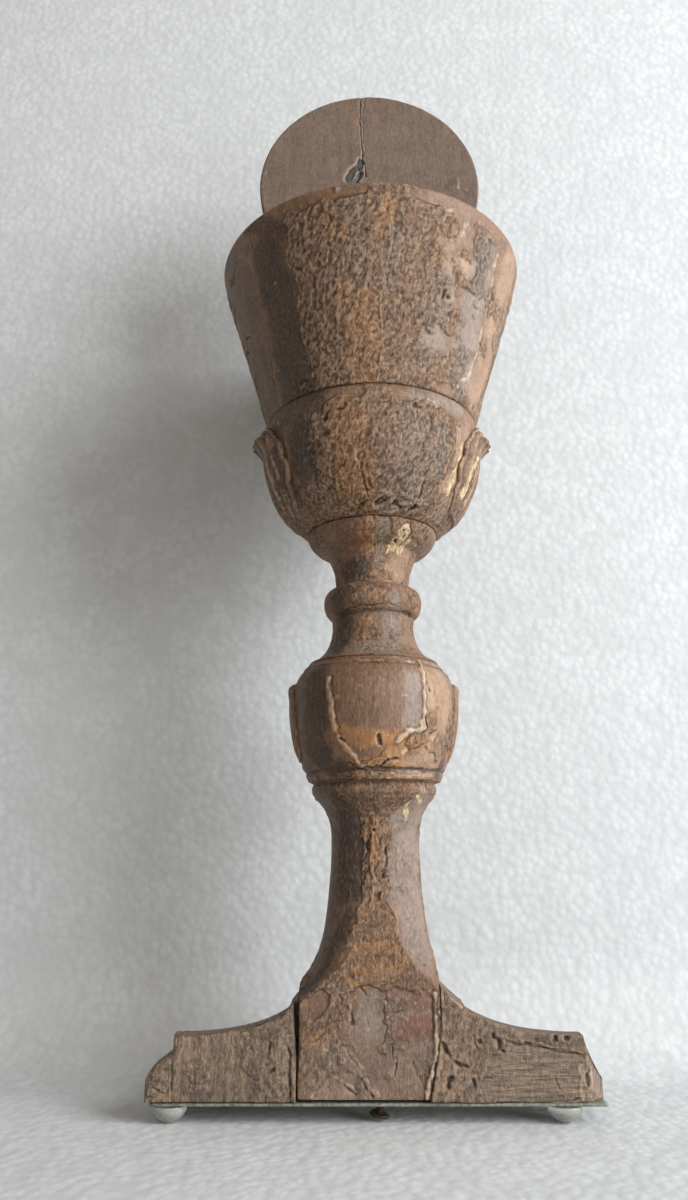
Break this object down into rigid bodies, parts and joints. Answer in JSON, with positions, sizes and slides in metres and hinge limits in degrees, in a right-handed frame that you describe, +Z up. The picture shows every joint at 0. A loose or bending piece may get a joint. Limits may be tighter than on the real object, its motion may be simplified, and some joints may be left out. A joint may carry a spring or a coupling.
{
  "type": "communion chalice",
  "caption": "Turned and carved wooden chalice with a host disc standing in its cup, leaf-carved calyx and knop, and a flat-cut foot with moulded wings.",
  "frame": {"origin": "on the surface that the chalice stands on, under the turned axis", "axes": "+Z up along the turned axis to the top of the host; -Y is the pictured front, where the foot is cut flat; +X to the viewer's right"},
  "size_m": [0.144, 0.1188, 0.3974],
  "materials": {
    "host_wood": "thin grey-brown paint over fine upright grain, matt, cracked and scuffed",
    "peg_wood": "plain turned wood, unpainted",
    "cup_gilding": "worn gesso and red-brown bole with traces of gold, crackled, matt to satin",
    "calyx_gilding": "worn gesso and ochre bole with traces of gold, crackled",
    "leaf_gilding": "carved wood with flaking gesso and pale gold on the ridges",
    "neck_gilding": "worn brown bole with pale gold patches",
    "knop_gilding": "smooth brown bole with blue-grey rubbed patches and flaking edges",
    "stem_gilding": "worn brown bole with a rough ochre ridge in front, flat grey-purple front panel",
    "foot_wood": "grey-brown weathered wood with fine upright scoring, bare grain where broken",
    "sole_card": "thin grey-green board, matt",
    "clear_bumper": "clear soft plastic dome",
    "old_iron": "rusted dark iron"
  },
  "bodies": {
    "chalice": {"cup": "cup_gilding", "calyx": "calyx_gilding", "calyx_leaf_left": "leaf_gilding", "calyx_leaf_right": "leaf_gilding", "neck": "neck_gilding", "knop": "knop_gilding", "knop_leaf_left": "leaf_gilding", "knop_leaf_right": "leaf_gilding", "stem": "stem_gilding", "foot_wing_left": "foot_wood", "foot_wing_right": "foot_wood", "dowel_left_front": "peg_wood", "dowel_left_rear": "peg_wood", "dowel_right_front": "peg_wood", "dowel_right_rear": "peg_wood", "sole_plate": "sole_card", "sole_nail": "old_iron", "bumper_front_left": "clear_bumper", "bumper_front_right": "clear_bumper", "bumper_rear_left": "clear_bumper", "bumper_rear_right": "clear_bumper"},
    "host": {"host_disc": "host_wood", "host_peg": "peg_wood"}
  },
  "joints": [
    {"name": "host_lift", "type": "slide", "parent": "chalice", "child": "host", "axis": [0, 0, 1], "range_m": [0, 0.02]}
  ]
}
